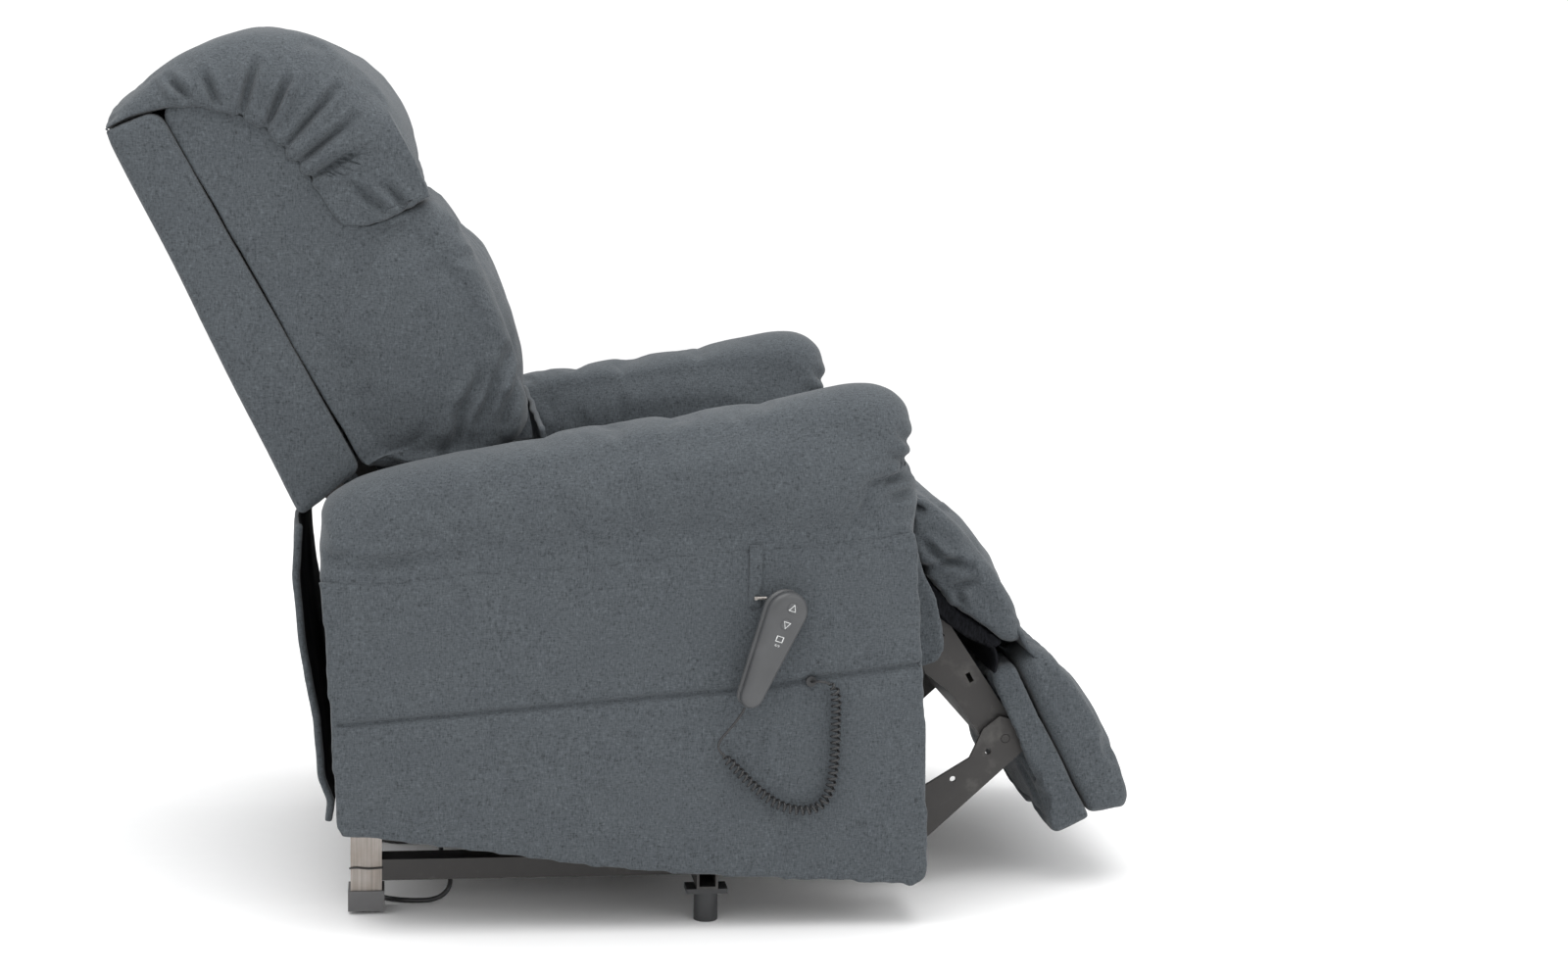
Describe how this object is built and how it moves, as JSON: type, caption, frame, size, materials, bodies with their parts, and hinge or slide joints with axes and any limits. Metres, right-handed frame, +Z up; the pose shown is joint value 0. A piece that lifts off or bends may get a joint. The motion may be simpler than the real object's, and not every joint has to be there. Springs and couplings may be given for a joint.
{
  "type": "lift recliner chair",
  "caption": "Upholstered lift recliner chair on a tilting steel lift base, with a reclining back, fold-out leg rest, padded arms and a corded handset hanging on one side.",
  "frame": {"origin": "on the floor, midway between the arms, below the middle of the chair's length in its stored, part-reclined position", "axes": "+X towards the leg rest, +Y towards the sitter's left, +Z up"},
  "size_m": [1.2202, 0.8138, 1.0262],
  "materials": {
    "upholstery": "heathered charcoal blue woven cloth",
    "black_lining": "black dust cloth",
    "dark_steel": "dark grey powder coat",
    "bare_steel": "brushed, slightly brown",
    "chromed_rod": "polished rod",
    "timber": "plain sawn timber and plywood",
    "grey_plastic": "moulded grey plastic",
    "dark_plastic": "moulded dark grey plastic",
    "cord_rubber": "black flexible cord",
    "button_grey": "light grey buttons"
  },
  "bodies": {
    "base": {"base_rail_right": "dark_steel", "base_rail_left": "dark_steel", "rear_cross_tube": "dark_steel", "front_cross_tube": "dark_steel", "rear_posts": "bare_steel", "rear_foot_caps": "grey_plastic", "front_feet": "dark_plastic", "base_lugs": "dark_steel", "base_pins": "bare_steel", "actuator_bracket": "dark_steel", "power_supply": "dark_plastic", "mains_gland": "cord_rubber", "mains_cord": "cord_rubber", "mains_coil": "cord_rubber", "mains_plug": "cord_rubber"},
    "rear_lift_arms": {"rear_lift_links": "dark_steel", "torque_tube": "dark_steel"},
    "front_lift_arms": {"front_lift_links": "dark_steel"},
    "actuator_body": {"actuator_motor": "dark_plastic", "actuator_tube": "bare_steel"},
    "actuator_ram": {"actuator_rod": "chromed_rod"},
    "chair_frame": {"side_plate_right": "dark_steel", "side_plate_left": "dark_steel", "frame_pins": "bare_steel", "frame_cross_tube": "dark_steel", "seat_rails": "timber", "seat_springs": "bare_steel", "seat_cushion": "upholstery", "outer_panel_right": "upholstery", "outer_panel_left": "upholstery", "inner_panel_right": "upholstery", "inner_panel_left": "upholstery", "arm_front_panels": "upholstery", "arm_pad_right": "upholstery", "arm_pad_left": "upholstery", "handset_strap": "upholstery", "handset_hook": "bare_steel", "cord_grommet": "dark_plastic", "handset_cord_leads": "cord_rubber", "handset_cord_curl": "cord_rubber"},
    "backrest": {"back_panel": "upholstery", "back_sides": "upholstery", "back_frame": "timber", "back_brackets": "dark_steel", "head_pillow": "upholstery", "lumbar_cushion": "upholstery"},
    "rear_flap_body": {"rear_flap": "black_lining"},
    "calf_rest": {"calf_brackets": "dark_steel", "calf_board": "timber", "calf_pad": "upholstery", "footrest_channel": "dark_steel"},
    "foot_rest": {"foot_board": "timber", "foot_boxing": "upholstery", "foot_cushion": "upholstery"},
    "swing_arm_pair": {"swing_arms": "dark_steel"},
    "stay_arm_pair": {"stay_arms": "dark_steel"},
    "handset": {"handset_shell": "dark_plastic"},
    "up_button": {"button_up": "button_grey"},
    "down_button": {"button_down": "button_grey"}
  },
  "joints": [
    {"name": "lift", "type": "hinge", "parent": "base", "child": "rear_lift_arms", "pos_m": [0.06, 0, 0.135], "axis": [0, 1, 0], "range_deg": [0, 62]},
    {"name": "chair_tilt", "type": "hinge", "parent": "rear_lift_arms", "child": "chair_frame", "pos_m": [-0.22, 0, 0.178], "axis": [0, 1, 0], "range_deg": [-43, 1]},
    {"name": "front_arm_turn", "type": "hinge", "parent": "base", "child": "front_lift_arms", "pos_m": [0.042, 0, 0.095], "axis": [0, 1, 0], "range_deg": [-1, 70]},
    {"name": "ram_swing", "type": "hinge", "parent": "base", "child": "actuator_body", "pos_m": [-0.286, 0, 0.1], "axis": [0, 1, 0], "range_deg": [-1, 2]},
    {"name": "ram_stroke", "type": "slide", "parent": "actuator_body", "child": "actuator_ram", "axis": [0.9641, 0, 0.2656], "range_m": [0, 0.064]},
    {"name": "recline", "type": "hinge", "parent": "chair_frame", "child": "backrest", "pos_m": [-0.29, 0, 0.4], "axis": [0, -1, 0], "range_deg": [-10, 25]},
    {"name": "flap_hang", "type": "hinge", "parent": "backrest", "child": "rear_flap_body", "pos_m": [-0.4009, 0, 0.4778], "axis": [0, -1, 0], "range_deg": [-26, 11]},
    {"name": "leg_rest", "type": "hinge", "parent": "chair_frame", "child": "calf_rest", "pos_m": [0.302, 0, 0.468], "axis": [0, -1, 0], "range_deg": [-17, 45]},
    {"name": "foot_fold", "type": "hinge", "parent": "calf_rest", "child": "foot_rest", "pos_m": [0.45, 0, 0.29], "axis": [0, -1, 0], "range_deg": [-4, 10]},
    {"name": "swing_arm_turn", "type": "hinge", "parent": "chair_frame", "child": "swing_arm_pair", "pos_m": [0.168, 0, 0.364], "axis": [0, -1, 0], "range_deg": [-18, 46]},
    {"name": "stay_arm_turn", "type": "hinge", "parent": "swing_arm_pair", "child": "stay_arm_pair", "pos_m": [0.318, 0, 0.08], "axis": [0, -1, 0], "range_deg": [-46, 18]},
    {"name": "handset_lift", "type": "slide", "parent": "chair_frame", "child": "handset", "axis": [0.3681, 0, 0.9298], "range_m": [0, 0.06]},
    {"name": "press_up", "type": "slide", "parent": "handset", "child": "up_button", "axis": [-0.318, 0.9397, 0.1259], "range_m": [0, 0.0015], "stiffness_N_per_m": 400, "springref_m": -0.0005},
    {"name": "press_down", "type": "slide", "parent": "handset", "child": "down_button", "axis": [-0.318, 0.9397, 0.1259], "range_m": [0, 0.0015], "stiffness_N_per_m": 400, "springref_m": -0.0005}
  ],
  "couplings": [
    {"joint": "chair_tilt", "follows": "lift", "ratio": -0.67742},
    {"joint": "front_arm_turn", "follows": "lift", "ratio": 1.0529},
    {"joint": "ram_swing", "follows": "lift", "ratio": 0.0142},
    {"joint": "ram_stroke", "follows": "lift", "m_per_rad": 0.05682},
    {"joint": "flap_hang", "follows": "recline", "ratio": -1},
    {"joint": "foot_fold", "follows": "leg_rest", "ratio": 0.2},
    {"joint": "swing_arm_turn", "follows": "leg_rest", "ratio": 1},
    {"joint": "stay_arm_turn", "follows": "leg_rest", "ratio": -1}
  ]
}
